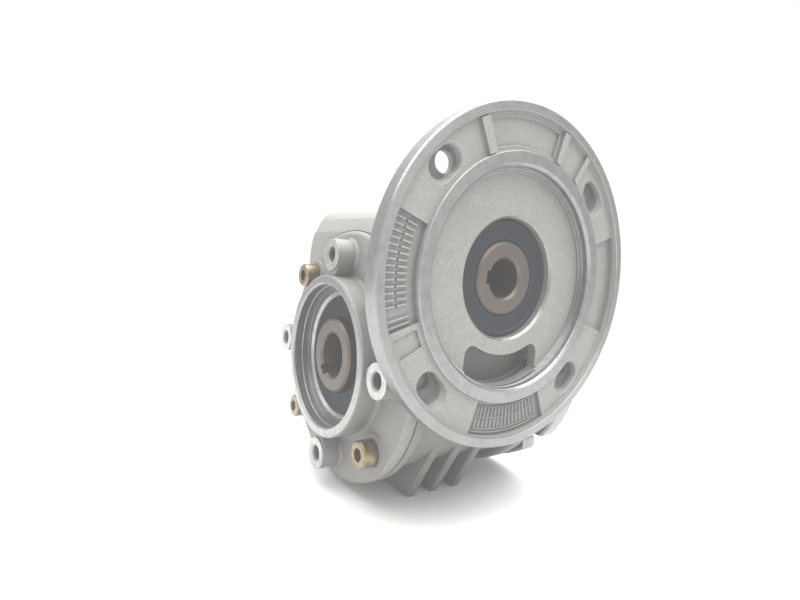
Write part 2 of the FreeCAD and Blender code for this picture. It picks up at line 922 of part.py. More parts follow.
def make_side_cover_screws():
    length = cover_screw_seat - case_face + cover_screw_grip
    screw = cap_screw(cover_screw_d, length, cover_screw_head_d, cover_screw_head_height)
    screws = []
    for x, z in ring_places(cover_screw_r, cover_screw_count, cover_screw_angle):
        screws.append(placed(screw, V(x, -cover_screw_seat, z), V(0, -1, 0)))
    return group(screws)


# Case
def house_profile(spread, rise):
    """Cross section of the worm house, widened and raised by the given amounts."""
    half = case_face + spread
    side = side_top + rise
    slope_y = half - house_slope_in
    slope_z = side + house_slope_rise
    shoulder = shoulder_top + rise
    run = slope_y - house_shoulder_half
    climb = shoulder - slope_z
    chord = math.hypot(run, climb)
    bend_y = (slope_y + house_shoulder_half) / 2 + house_bulge * climb / chord
    bend_z = (slope_z + shoulder) / 2 + house_bulge * run / chord
    return [
        (-half, center_distance - house_drop),
        (-half, side),
        (-slope_y, slope_z),
        ((-bend_y, bend_z), (-house_shoulder_half, shoulder)),
        ((0, crown_top + rise), (house_shoulder_half, shoulder)),
        ((bend_y, bend_z), (slope_y, slope_z)),
        (half, side),
        (half, center_distance - house_drop),
    ]


def make_worm_house():
    face = outline_face(house_profile(0, 0), in_cross_section)
    face.translate(V(-house_rear, 0, 0))
    house = face.extrude(V(house_rear + house_front, 0, 0))
    rear_edges = [edge for edge in house.Edges
                  if abs(edge.CenterOfMass.x + house_rear) < tiny and edge.CenterOfMass.z > side_top]
    return house.makeFillet(house_rear_round, rear_edges)


def make_roof_pad():
    items = house_profile(pad_overhang, pad_height)
    low = side_top - pad_overhang
    items[0] = (items[0][0], low)
    items[-1] = (items[-1][0], low)
    face = outline_face(items, in_cross_section)
    face.translate(V(-pad_rear, 0, 0))
    return face.extrude(V(pad_rear + house_front, 0, 0))


def make_fin(y):
    """Cooling fin that is also a foot: flat below, its ends running up to the round case."""
    reach = math.hypot(foot_half_length, base_z)
    turn = math.acos(case_r / reach) + math.atan2(foot_half_length, -base_z)
    tangent_x = case_r * math.sin(turn)
    tangent_z = -case_r * math.cos(turn)
    points = [
        V(-foot_half_length, 0, base_z),
        V(foot_half_length, 0, base_z),
        V(tangent_x, 0, tangent_z),
        V(-tangent_x, 0, tangent_z),
    ]
    fin = Part.Face(Part.makePolygon(points + points[:1])).extrude(V(0, fin_thickness, 0))
    fin.translate(V(0, y - fin_thickness / 2, 0))
    return fin.makeFillet(fin_round, fin.Edges)


def plug_sites():
    """Place of each oil plug: the seat of its washer, and the way it points."""
    rear = -(case_r + plug_boss_height)
    return {
        "oil_fill_plug": (V(fill_plug_x, 0, crown_top + pad_height + plug_boss_height), V(0, 0, 1)),
        "oil_level_plug": (V(rear, 0, level_plug_z), V(-1, 0, 0)),
        "oil_drain_plug": (V(rear, 0, drain_plug_z), V(-1, 0, 0)),
    }


def plug_bosses():
    bosses = []
    depth = plug_boss_height + case_wall
    for seat, way in plug_sites().values():
        boss = Part.makeCylinder(plug_boss_d / 2, 2 * depth, V(0, 0, -2 * depth))
        bosses.append(placed(boss, seat, way))
    return bosses


def plug_holes():
    holes = []
    for seat, way in plug_sites().values():
        hole = Part.makeCylinder(plug_thread_d / 2 + seat_gap, plug_hole_reach, V(0, 0, -plug_hole_reach))
        holes.append(placed(hole, seat, way))
    return holes


def make_plug():
    return cap_screw(plug_thread_d, plug_thread_length + plug_washer, plug_head_d, plug_head_height)


def make_plug_washers():
    washers = []
    for seat, way in plug_sites().values():
        ring = Part.makeCylinder(plug_head_d / 2, plug_washer)
        ring = ring.cut(Part.makeCylinder(plug_thread_d / 2 + seat_gap, plug_washer))
        washers.append(placed(ring, seat, way))
    return group(washers)


def case_outside():
    edge = cover_edge_round
    middle = quarter_middle * edge
    rim_back = case_face - case_rim_width
    body = rod_y(case_r, -case_face, bearing_face)
    rim = turned([
        (sump_r, case_face),
        (cover_r, case_face),
        (cover_r, rim_back + edge),
        ((cover_r - middle, rim_back + middle), (cover_r - edge, rim_back)),
        (sump_r, rim_back),
    ], on_cover_side)
    far = turned(seat_outline() + [
        (cover_r - edge, disc_face),
        ((cover_r - middle, disc_face - middle), (cover_r, disc_face - edge)),
        (cover_r, far_disc_inner + edge),
        ((cover_r - middle, far_disc_inner + middle), (cover_r - edge, far_disc_inner)),
        (output_bearing_r, far_disc_inner),
    ], on_output)
    fins = []
    for i in range(fin_count):
        fins.append(make_fin(fin_pitch * (i - (fin_count - 1) / 2)))
    plate_r = flange_screw_circle_d / 2 + front_plate_margin
    plate = rod_x(plate_r, flange_seat - front_plate_thickness, flange_seat)
    neck = rod_x(flange_hub_r + front_neck_margin, house_inner_front, flange_seat)
    parts = [rim, far, make_worm_house(), make_roof_pad(), plate, neck] + fins + plug_bosses()
    return body.fuse(parts + side_bosses(on_output))


def case_hollows():
    half_room = case_face - house_wall
    ceiling = center_distance + house_ceiling_rise
    bearing_r = output_bearing_r
    rear_r = rear_bearing_d / 2
    return [
        rod_y(mouth_r, -case_face, 0),
        rod_y(sump_r, -sump_start, sump_end),
        rod_y(bearing_r, 0, bearing_face),
        rod_y(bearing_r - bearing_lip_height, 0, seal_seat),
        block(-house_inner_rear, house_inner_front, -half_room, half_room, 0, ceiling),
        rod_x(flange_hub_r + seat_gap, house_inner_front - house_wall, flange_seat),
        rod_x(rear_r, -house_rear, -rear_shoulder),
        rod_x(rear_r + circlip_depth, circlip_face, rear_shim_face),
        rod_x(rear_r - circlip_height, -rear_shoulder, 0),
        rod_y(cover_r + arch_gap, -ring_face, -case_face),
        flange_window(flange_seat - slot_relief, flange_seat),
    ]


def make_gearbox_housing():
    holes = []
    thread_end = -case_face + cover_screw_grip + screw_hole_play
    for x, z in ring_places(cover_screw_r, cover_screw_count, cover_screw_angle):
        holes.append(rod_y(cover_screw_d / 2 + seat_gap, -case_face, thread_end, x, z))
    plate_back = flange_seat - front_plate_thickness
    shank_r = (flange_screw_d + screw_hole_play) / 2
    head_r = (flange_screw_head_d + screw_hole_play) / 2
    for y, z in flange_places(flange_screw_circle_d / 2, flange_screw_angles):
        holes.append(rod_x(shank_r, plate_back, flange_seat, y, z))
        holes.append(rod_x(head_r, house_front, plate_back, y, z))
    return case_outside().cut(case_hollows() + holes + plug_holes() + boss_holes(on_output))


# Motor flange
def flange_hole_angles():
    return [flange_hole_angle + 360.0 * i / flange_hole_count for i in range(flange_hole_count)]


def mouth_outline(x, y, z, r, run):
    """Long rounded outline across the worm axis that begins at a place and follows a run."""
    along = V(run).normalize()
    side = V(1, 0, 0).cross(along) * r
    first = V(x, y, z)
    last = first + run
    edges = [
        Part.Arc(first + side, first - along * r, first - side).toShape(),
        Part.makeLine(first - side, last - side),
        Part.Arc(last - side, last + along * r, last + side).toShape(),
        Part.makeLine(last + side, first + side),
    ]
    return Part.Wire(edges)


def bolt_mouths(annulus_x):
    """Cast mouths of the bolt holes, drawn out downward along the face and narrowing inward."""
    floor_r = flange_hole_d / 2 + flange_mouth_step
    neck_r = floor_r + flange_mouth_taper
    start = annulus_x - flange_mouth_depth
    lip_x = annulus_x - flange_mouth_lip
    mouths = []
    angles = flange_hole_angles()
    places = flange_places(flange_hole_circle_d / 2 + flange_mouth_shift, angles)
    for angle, (y, z) in zip(angles, places):
        turn = math.radians(angle)
        down = V(0, -math.sin(turn), math.cos(turn))
        if down.z > 0:
            down = down * -1
        floor = mouth_outline(start, y, z, floor_r, down * flange_mouth_floor_run)
        neck = mouth_outline(lip_x, y, z, neck_r, down * flange_mouth_run)
        brim = mouth_outline(annulus_x, y, z, neck_r + flange_mouth_lip, down * flange_mouth_run)
        mouths.append(Part.makeLoft([floor, neck], True, True))
        mouths.append(Part.makeLoft([neck, brim], True, True))
    return mouths


def make_motor_flange():
    seal_r = input_seal_d / 2
    lip_r = front_bearing_d / 2 - bearing_lip_height
    bearing_r = front_bearing_d / 2
    hub_r = flange_hub_r
    pilot = spigot_d / 2
    ring_x = flange_face - ring_drop
    annulus_x = flange_face - floor_depth
    rim_r = flange_d / 2
    rim_back = flange_face - flange_rim_thickness
    draft = flange_draft
    step_x = flange_face - ring_drop - spigot_depth
    step_r = pilot - recess_step
    mid_x = (step_x + floor_x) / 2
    shape = turned([
        (lip_r, front_bearing_face),
        (lip_r, input_seal_seat),
        (seal_r, input_seal_seat),
        (seal_r, floor_x - edge_chamfer),
        (seal_r + edge_chamfer, floor_x),
        (recess_r, floor_x),
        (recess_r, mid_x),
        (step_r, mid_x),
        (step_r, step_x),
        (pilot, step_x),
        (pilot, ring_x - edge_chamfer),
        (pilot + edge_chamfer, ring_x),
        (ring_outer_r, ring_x),
        (ring_outer_r + draft, annulus_x),
        (rim_r - flange_rim_width - draft, annulus_x),
        (rim_r - flange_rim_width, flange_face),
        (rim_r - flange_edge, flange_face),
        (rim_r, flange_face - flange_edge),
        (rim_r, rim_back + flange_edge),
        (rim_r - flange_edge, rim_back),
        (flange_cone_r, rim_back),
        (flange_back_r, flange_seat),
        (hub_r, flange_seat),
        (hub_r, flange_hub_end),
        (bearing_r, flange_hub_end),
        (bearing_r, front_bearing_face),
    ], on_worm)
    panel_x = flange_face - panel_depth
    panel_in = ring_outer_r + draft
    panel_out = rim_r - flange_rim_width - draft
    cuts = [flange_window(flange_seat, step_x)] + bolt_mouths(annulus_x)
    for angle0, angle1 in panel_angles:
        cuts.append(flange_sector(panel_in, panel_out, angle0, angle1, panel_x, flange_face))
    margin = shallow_panel_margin
    for angle0, angle1 in shallow_panel_angles:
        cuts.append(flange_sector(panel_in + margin, panel_out - margin, angle0, angle1,
                                  annulus_x - shallow_panel_depth, flange_face))
    bosses = []
    boss_back = max(rim_back - flange_boss_height, cover_r + flange_boss_gap)
    for y, z in flange_places(flange_hole_circle_d / 2, flange_hole_angles()):
        bosses.append(rod_x(flange_boss_d / 2, boss_back, (rim_back + annulus_x) / 2, y, z))
        cuts.append(rod_x(flange_hole_d / 2, flange_seat, flange_face, y, z))
    thread_r = flange_screw_d / 2 + seat_gap
    for y, z in flange_places(flange_screw_circle_d / 2, flange_screw_angles):
        cuts.append(rod_x(thread_r, flange_seat, flange_seat + flange_screw_engage, y, z))
    groove_end = o_ring_start + o_ring_groove_width
    groove = rod_x(hub_r + seat_gap, o_ring_start, groove_end)
    cuts.append(groove.cut(rod_x(o_ring_groove_r, o_ring_start, groove_end)))
    return fused(shape, bosses + flange_ribs(panel_in, panel_out, annulus_x)).cut(cuts)


def flange_ribs(inner, outer, annulus_x):
    """Raised radial ribs on the cast face between the ring and the rim."""
    ribs = []
    for angle, width in rib_angles_and_widths:
        half_angle = math.degrees(width / inner) / 2
        ribs.append(flange_sector(inner, outer, angle - half_angle, angle + half_angle,
                                  annulus_x - rib_height, annulus_x + rib_height))
    return ribs


def make_flange_o_ring():
    """Rubber ring squeezed to the depth of its groove."""
    section_r = o_ring_groove_depth / 2
    middle = o_ring_start + o_ring_groove_width / 2
    return Part.makeTorus(o_ring_groove_r + section_r, section_r, V(middle, 0, center_distance), V(1, 0, 0))


def make_motor_flange_screws():
    length = front_plate_thickness + flange_screw_engage - screw_hole_play
    screw = cap_screw(flange_screw_d, length, flange_screw_head_d, flange_screw_head_height)
    screws = []
    for y, z in flange_places(flange_screw_circle_d / 2, flange_screw_angles):
        screws.append(placed(screw, V(flange_seat - front_plate_thickness, y, z), V(-1, 0, 0)))
    return group(screws)


# Output flange
def make_output_flange():
    bore_r = output_flange_bore / 2
    register_r = pilot_r - running_gap
    relief = ring_face + flat_gap
    flange_r = output_flange_d / 2
    pilot_out = output_flange_pilot_d / 2
    top = output_flange_face + output_flange_pilot_height
    edge = edge_chamfer
    shape = turned([
        (bore_r, boss_face - output_flange_register),
        (register_r, boss_face - output_flange_register),
        (register_r, relief),
        (pilot_ring_r + flat_gap, relief),
        (pilot_ring_r + flat_gap, boss_face),
        (flange_r - edge, boss_face),
        (flange_r, boss_face + edge),
        (flange_r, output_flange_face - edge),
        (flange_r - edge, output_flange_face),
        (pilot_out, output_flange_face),
        (pilot_out, top - edge),
        (pilot_out - edge, top),
        (bore_r + edge, top),
        (bore_r, top - edge),
    ], on_output)
    cuts = []
    for x, z in ring_places(output_slot_root_r, output_slot_count, output_slot_angle):
        cuts.append(rod_y(output_slot_width / 2, boss_face, output_flange_face, x, z))
        out = V(x, 0, z).normalize()
        across = V(-z, 0, x).normalize() * (output_slot_width / 2)
        inner = out * output_slot_root_r + V(0, boss_face, 0)
        knee = out * (flange_r - output_slot_flare) + V(0, boss_face, 0)
        outer = out * (flange_r + edge) + V(0, boss_face, 0)
        flared = across + across * (2 * (output_slot_flare + edge) / output_slot_width)
        corners = [inner + across, knee + across, outer + flared]
        corners += [outer - flared, knee - across, inner - across]
        mouth = Part.Face(Part.makePolygon(corners + corners[:1]))
        cuts.append(mouth.extrude(V(0, output_flange_thickness, 0)))
    for x, z in ring_places(boss_circle_r, boss_count, boss_angle):
        cuts.append(rod_y((boss_thread_d + screw_hole_play) / 2, boss_face, top, x, z))
        cuts.append(rod_y((flange_low_head_d + screw_hole_play) / 2, boss_face + flange_land, top, x, z))
    return shape.cut(cuts)


def make_output_flange_screws():
    length = flange_land + boss_thread_depth - 2 * screw_hole_play
    screw = cap_screw(boss_thread_d - 2 * seat_gap, length, flange_low_head_d, flange_low_head_height)
    screws = []
    for x, z in ring_places(boss_circle_r, boss_count, boss_angle):
        screws.append(placed(screw, V(x, boss_face + flange_land, z), V(0, 1, 0)))
    return group(screws)


def all_pieces():
    pieces = {
        "gearbox_housing": make_gearbox_housing(),
        "side_cover": make_side_cover(),
        "side_cover_gasket": make_side_cover_gasket(),
        "side_cover_screws": make_side_cover_screws(),
        "motor_flange": make_motor_flange(),
        "motor_flange_o_ring": make_flange_o_ring(),
        "motor_flange_screws": make_motor_flange_screws(),
        "output_flange": make_output_flange(),
        "output_flange_screws": make_output_flange_screws(),
        "input_oil_seal": make_input_seal(),
        "output_oil_seal_near": make_output_seal(on_cover_side),
        "output_oil_seal_far": make_output_seal(on_output),
        "output_shaft": make_output_shaft(),
        "worm_wheel_rim": make_worm_wheel_rim(),
        "rim_lock_screws": make_rim_screws(),
        "worm_shaft": make_worm_shaft(),
        "worm_rear_shim": make_rear_shim(),
        "worm_rear_spacer": make_rear_spacer(),
        "case_circlip": make_case_circlip(),
        "worm_shaft_circlip": make_shaft_circlip(),
        "worm_end_cap": make_end_cap(),
        "oil_plug_washers": make_plug_washers(),
    }
    for name, (seat, way) in plug_sites().items():
        pieces[name] = placed(make_plug(), seat + way * plug_washer, way)
    bearings = {
        "output_bearing_near": output_bearing(on_cover_side),
        "output_bearing_far": output_bearing(on_output),
        "worm_bearing_front": front_bearing(),
        "worm_bearing_rear": rear_bearing(),
    }
    for bearing, parts in bearings.items():
        for part, shape in parts.items():
            pieces[bearing + "_" + part] = shape
    return pieces


os.makedirs("parts", exist_ok=True)
for node, solid in all_pieces().items():
    solid.exportStep("parts/" + node + ".step")
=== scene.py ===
"""Dresses the worm gear reducer.

Every piece gets its finish; grids, threads and fillets of the castings, floor, light and camera are added.
"""

import json
import math

import bpy
from mathutils import Matrix, Vector


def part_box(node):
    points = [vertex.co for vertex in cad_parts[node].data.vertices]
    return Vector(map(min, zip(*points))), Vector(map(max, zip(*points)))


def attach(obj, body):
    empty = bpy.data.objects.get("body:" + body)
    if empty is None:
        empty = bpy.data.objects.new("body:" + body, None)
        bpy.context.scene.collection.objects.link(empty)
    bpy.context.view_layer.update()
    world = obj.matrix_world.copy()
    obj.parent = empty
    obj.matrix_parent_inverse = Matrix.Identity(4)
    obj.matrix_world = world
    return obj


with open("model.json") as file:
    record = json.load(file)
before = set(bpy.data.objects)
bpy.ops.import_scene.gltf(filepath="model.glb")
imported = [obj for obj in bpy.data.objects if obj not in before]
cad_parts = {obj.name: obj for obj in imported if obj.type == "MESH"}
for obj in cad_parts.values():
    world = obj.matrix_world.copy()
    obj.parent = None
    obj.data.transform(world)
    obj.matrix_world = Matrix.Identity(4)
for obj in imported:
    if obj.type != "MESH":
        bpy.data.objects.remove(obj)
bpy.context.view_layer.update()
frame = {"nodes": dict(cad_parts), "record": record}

# Sizes below are in millimetres and degrees; MM turns them into the frame's metres
MM = 0.001
mounts = {mount["name"]: mount for mount in frame["record"]["mounts"]}

# Motor flange: rim, sunk panels, deep mouths round the bolts, register ring, recess and bore of the seal
worm_height = mounts["input_bore"]["pos_m"][2] / MM
spigot_r = mounts["motor_spigot"]["dims"]["r_mm"]
flange_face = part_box("motor_flange")[1].x / MM
flange_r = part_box("motor_flange")[1].y / MM
flange_back = 83.0
rim_inner_r = 94.4
panel_floor = flange_face - 6.0
panel_inner_r = 74.0
panel_outer_r = 93.5
mouth_floor = flange_face - 9.5
ring_outer_r = 73.1
recess_floor = flange_face - 9.0
highlight_wall_top = worm_height - 35.0
input_seal_r = 37.6
seal_mouth = 2.4

# Side cover, with the far side of the case as its twin: pilot ring, disc, bosses, screw spots, seal bore
ring_face = -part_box("side_cover")[0].y / MM
pilot_r = mounts["cover_pilot"]["dims"]["r_mm"]
disc_face = ring_face - 16.0
boss_face = ring_face - 1.6
boss_circle_r = mounts["cover_boss_1"]["pos_m"][0] / MM
boss_hole_r = mounts["cover_boss_1"]["dims"]["r_mm"]
boss_r = 10.5
boss_fillet_r = 2.0
tapped_depth = 17.0
screw_circle_r = 71.0
spot_r = 11.75
spot_fillet_r = 0.9
seal_bore_r = 40.0
seal_chamfer = 2.3
seal_floor = ring_face - 12.0
highlight_ring_top = -14.0
output_flange_back = boss_face - 5.0

# Case: lowest and rearmost faces, rear bore, front wall behind the slot, and where painted top light,
# darker brown and the seam lie
base_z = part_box("gearbox_housing")[0].z / MM
rear_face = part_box("gearbox_housing")[0].x / MM
rear_bore_depth = 40.0
rear_bore_r = 32.0
front_wall = 60.0
slot_back = recess_floor - 5.8
slot_inner_r = 44.5
roof_foot = 88.0
low_brown_top = -5.0
low_brown_start = 22.0
seam_top = 45.0
seam_start = 10.0
seam_spread = 0.5
seam_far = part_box("side_cover_gasket")[0].y / MM - seam_spread
seam_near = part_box("side_cover_gasket")[1].y / MM + seam_spread

# Camera, fitted to the photo's circles and edges
picture_width = 800
focal_pixels = 490.374
camera_azimuth = 55.283
camera_elevation = 4.882
camera_roll = 5.240
camera_place = (294.306, -219.895, 69.586)


def rgb(red, green, blue):
    return (red, green, blue, 1.0)


# Tones of the castings, of what lies on them, and of the light and shade painted on them
cast_tone = rgb(0.231, 0.227, 0.216)
top_light_tone = rgb(0.315, 0.315, 0.305)
stain_tone = rgb(0.20, 0.18, 0.15)
low_brown_tone = rgb(0.105, 0.092, 0.074)
nick_tone = rgb(0.10, 0.097, 0.093)
dirt_tone = rgb(0.135, 0.125, 0.108)
rubbed_and_highlight_tone = rgb(0.58, 0.58, 0.57)
crevice_dirt_and_shade_tone = rgb(0.09, 0.087, 0.083)
painted_shade_tone = rgb(0.11, 0.107, 0.102)
seam_tone = rgb(0.05, 0.048, 0.045)
hole_shade_tone = rgb(0.050, 0.049, 0.049)

# Tones of the screws, shafts and other metal
zinc_thin = rgb(0.175, 0.130, 0.064)
zinc_thick = rgb(0.265, 0.215, 0.126)
zinc_rubbed = rgb(0.46, 0.41, 0.29)
zinc_dirt_and_shade = rgb(0.05, 0.033, 0.018)
shaft_steel = rgb(0.104, 0.096, 0.088)
shaft_oil = rgb(0.112, 0.085, 0.063)
shaft_rubbed = rgb(0.30, 0.275, 0.245)
shaft_dirt_and_shade = rgb(0.03, 0.027, 0.024)
metal_rubbed = rgb(0.80, 0.79, 0.77)
metal_dirt_and_shade = rgb(0.06, 0.055, 0.05)

# Tones of the seals, the gasket and the floor
rubber_black = rgb(0.010, 0.011, 0.015)
rubber_dusty = rgb(0.020, 0.022, 0.029)
rubber_rubbed = rgb(0.10, 0.105, 0.115)
fibre_dark = rgb(0.05, 0.05, 0.05)
fibre_pale = rgb(0.14, 0.135, 0.13)
floor_dull = rgb(0.755, 0.755, 0.75)
floor_pale = rgb(0.775, 0.775, 0.77)


class Reading:
    """A value that varies over a surface; a sum with it adds nodes to the finish that it belongs to."""

    def __init__(self, finish, socket):
        self.finish = finish
        self.socket = socket

    def __add__(self, other):
        return self.finish.sum("ADD", self, other)

    def __radd__(self, other):
        return self.finish.sum("ADD", other, self)

    def __sub__(self, other):
        return self.finish.sum("SUBTRACT", self, other)

    def __rsub__(self, other):
        return self.finish.sum("SUBTRACT", other, self)

    def __mul__(self, other):
        return self.finish.sum("MULTIPLY", self, other)

    def __rmul__(self, other):
        return self.finish.sum("MULTIPLY", other, self)


class Finish:
    """A surface finish being wired up for one kind of piece, measured in millimetres on the piece."""

    def __init__(self, name):
        self.material = bpy.data.materials.new(name)
        self.material.use_nodes = True
        self.tree = self.material.node_tree
        self.tree.nodes.clear()
        metres = self.node("ShaderNodeTexCoord", {}, {}, "Object")
        self.place = self.node("ShaderNodeVectorMath", {"operation": "SCALE"}, {0: metres, "Scale": 1 / MM})
        self.x, self.y, self.z = self.parts(self.place)

    def node(self, kind, settings, sockets, output=0):
        """One node of any kind: its settings, then the values or links of its sockets."""
        made = self.tree.nodes.new(kind)
        for key, value in settings.items():
            setattr(made, key, value)
        for key, value in sockets.items():
            if isinstance(value, Reading):
                self.tree.links.new(value.socket, made.inputs[key])
            else:
                made.inputs[key].default_value = value
        return Reading(self, made.outputs[output]) if made.outputs else None

    def sum(self, operation, *terms):
        return self.node("ShaderNodeMath", {"operation": operation}, dict(enumerate(terms)))

    def parts(self, vector):
        split = self.node("ShaderNodeSeparateXYZ", {}, {0: vector})
        outputs = split.socket.node.outputs
        return [Reading(self, outputs[i]) for i in range(3)]

    def radius(self, first, second):
        return self.sum("SQRT", first * first + second * second)

    def above(self, value, edge, soft=0.15):
        """0 below an edge, 1 above it."""
        limits = {0: value, 1: edge - soft, 2: edge + soft}
        return self.node("ShaderNodeMapRange", {"interpolation_type": "SMOOTHSTEP"}, limits)

    def below(self, value, edge, soft=0.15):
        """1 below an edge, 0 above it."""
        return 1 - self.above(value, edge, soft)

    def between(self, value, low, high, soft=0.15):
        return self.above(value, low, soft) * self.below(value, high, soft)

    def either(self, *masks):
        joined = masks[0]
        for mask in masks[1:]:
            joined = self.sum("MAXIMUM", joined, mask)
        return joined

    def noise(self, size, detail, rough):
        """Cloudy noise about as coarse as the size."""
        sockets = {"Vector": self.place, "Scale": 1 / size, "Detail": detail, "Roughness": rough}
        return self.node("ShaderNodeTexNoise", {}, sockets)

    def pits(self, size):
        """Distance from scattered points, for pits and specks."""
        return self.node("ShaderNodeTexVoronoi", {}, {"Vector": self.place, "Scale": 1 / size}, "Distance")

    def blend(self, share, first, second):
        """Colour between two colours; a colour mix has them in its sockets 6 and 7 and gives output 2."""
        sockets = {0: share, 6: first, 7: second}
        return self.node("ShaderNodeMix", {"data_type": "RGBA"}, sockets, 2)

    def tint(self, colour, value):
        """Colour made lighter or darker by a value about one."""
        return self.node("ShaderNodeVectorMath", {"operation": "SCALE"}, {0: colour[:3], "Scale": value})

    def soft_edge(self, width):
        """Normals rounded over the edges."""
        return self.node("ShaderNodeBevel", {"samples": 6}, {"Radius": width * MM})

    def edge_share(self, rounded):
        """Share of an edge's rounding at a point: 0 on flats, near 1 on edges."""
        on_flat = 0.995
        on_edge = 0.88
        true = self.node("ShaderNodeNewGeometry", {}, {}, "True Normal")
        pair = {0: rounded, 1: true}
        match = self.node("ShaderNodeVectorMath", {"operation": "DOT_PRODUCT"}, pair, "Value")
        return self.node("ShaderNodeMapRange", {}, {0: match, 1: on_flat, 2: on_edge})

    def crevice(self, reach):
        """1 in the open, less where surfaces close in."""
        return self.node("ShaderNodeAmbientOcclusion", {"samples": 6}, {"Distance": reach * MM}, "AO")

    def surface(self, colour, roughness, metallic, height=None, rounded=None, specular=0.5):
        """The finished surface; the height is in millimetres."""
        sockets = {"Base Color": colour, "Roughness": roughness, "Metallic": metallic}
        sockets["Specular IOR Level"] = specular
        normal = rounded
        if height is not None:
            relief = {"Height": height, "Distance": MM, "Strength": 1.0}
            if rounded is not None:
                relief["Normal"] = rounded
            normal = self.node("ShaderNodeBump", {}, relief)
        if normal is not None:
            sockets["Normal"] = normal
        shader = self.node("ShaderNodeBsdfPrincipled", {}, sockets)
        self.node("ShaderNodeOutputMaterial", {}, {0: shader})
        return self.material


def cast_skin(f, shade, behind_flange, low_brown_share):
    """Colour of the blasted skin: stained, painted light on the upper case, darker brown low by the motor
    flange.
    """
    stain = f.above(f.noise(26.0, 4.0, 0.65), 0.60, 0.10)
    # Painted light: the upper case behind the motor flange is made paler, as if lit from above
    painted_top_light = f.above(f.z, roof_foot, 26.0) * behind_flange
    # Darker brown over the lower side next to the motor flange
    low_by_flange = f.below(f.z, low_brown_top, 50.0) * f.above(f.x, low_brown_start, 32.0)
    low_brown = low_by_flange * (0.5 + f.noise(15.0, 4.0, 0.65))
    colour = f.tint(cast_tone, shade)
    colour = f.blend(stain * 0.25, colour, stain_tone)
    colour = f.blend(painted_top_light * 0.70, colour, top_light_tone)
    return f.blend(low_brown * low_brown_share, colour, low_brown_tone)


def turned_skin(f, tone, shade, nicks):
    """Colour of a turned face, with nicks and dirt in it."""
    dirt = f.above(f.noise(6.0, 5.0, 0.7), 0.53, 0.10)
    colour = f.tint(rgb(tone, tone, tone * 0.978), shade)
    colour = f.blend(nicks * 0.6, colour, nick_tone)
    return f.blend(dirt * 0.30, colour, dirt_tone)


def cast_aluminium(name, machined_faces, machined_tone, low_brown_share=0.0):
    """Blasted casting, with turned faces and painted shade in holes where the mask function puts them.

    The last argument is the share of a darker brown over the lower side next to the motor flange.
    """
    f = Finish(name)
    turned, holes, lines = machined_faces(f)
    speck = f.noise(1.3, 3.0, 0.6)
    grain = f.noise(0.55, 2.0, 0.7)
    mottle = f.noise(7.0, 3.0, 0.6)
    cloud = f.noise(34.0, 2.0, 0.5)
    nicks = f.above(f.noise(1.8, 3.0, 0.7), 0.63, 0.03) * f.above(f.noise(13.0, 2.0, 0.5), 0.48, 0.12)
    behind_flange = f.below(f.x, flange_back, 0.5)
    cast_shade = 0.15 + 0.85 * speck + 0.55 * grain + 0.18 * mottle + 0.12 * cloud
    # The lines carry painted highlights on some turned faces as well as the tool's rings
    turned_shade = 0.80 + 0.30 * lines + 0.10 * mottle
    cast = cast_skin(f, cast_shade, behind_flange, low_brown_share)
    bright = turned_skin(f, machined_tone, turned_shade, nicks)
    rounded = f.soft_edge(0.7)
    edge = f.edge_share(rounded)
    open_air = f.crevice(7.0)
    open_room = f.crevice(32.0)
    seam = f.between(f.y, seam_far, seam_near) * behind_flange * f.below(f.z, seam_top, 10.0)
    seam_dark = 0.35 + 0.45 * f.above(f.x, seam_start, 40.0)
    colour = f.blend(turned, cast, bright)
    # Edges made lighter: partly wear, partly a painted highlight
    colour = f.blend(edge * open_air * (0.32 + 0.22 * turned), colour, rubbed_and_highlight_tone)
    # Dirt and painted shade in crevices within 7 mm
    colour = f.blend((1 - open_air) * 0.45, colour, crevice_dirt_and_shade_tone)
    # Painted shade where parts close in within 32 mm, on faces that are not turned
    colour = f.blend((1 - open_room) * (1 - turned) * 0.28, colour, painted_shade_tone)
    colour = f.blend(seam * seam_dark, colour, seam_tone)
    # Painted shade in the bolt mouths, tapped holes and on the wall behind the slot
    colour = f.blend(holes * 0.85, colour, hole_shade_tone)
    roughness = (0.56 + 0.10 * speck) * (1 - turned) + turned * (0.24 + 0.16 * mottle)
    metallic = 0.30 + 0.55 * turned
    dimples = f.above(f.pits(1.6), 0.22, 0.14)
    cast_height = 0.20 * speck + 0.09 * grain + 0.04 * dimples + 0.25 * mottle
    turned_height = 0.012 * lines + 0.02 * mottle - 0.12 * nicks
    height = cast_height * (1 - turned) + turned_height * turned
    return f.surface(colour, roughness, metallic, height, rounded)


def turning_lines(f, radius, pitch=1.1):
    """Fine rings left by the lathe tool, uneven in depth."""
    rings = f.sum("SINE", radius * (2 * math.pi / pitch))
    uneven = f.noise(2.5, 2.0, 0.6)
    return 0.5 + 0.5 * rings * uneven


def hole_radius(f):
    """Distance from the nearest tapped hole's axis; the holes stand at the four quarters."""
    across = f.sum("ABSOLUTE", f.x)
    up = f.sum("ABSOLUTE", f.z)
    far = f.sum("MAXIMUM", across, up)
    near = f.sum("MINIMUM", across, up)
    return f.radius(far - boss_circle_r, near)


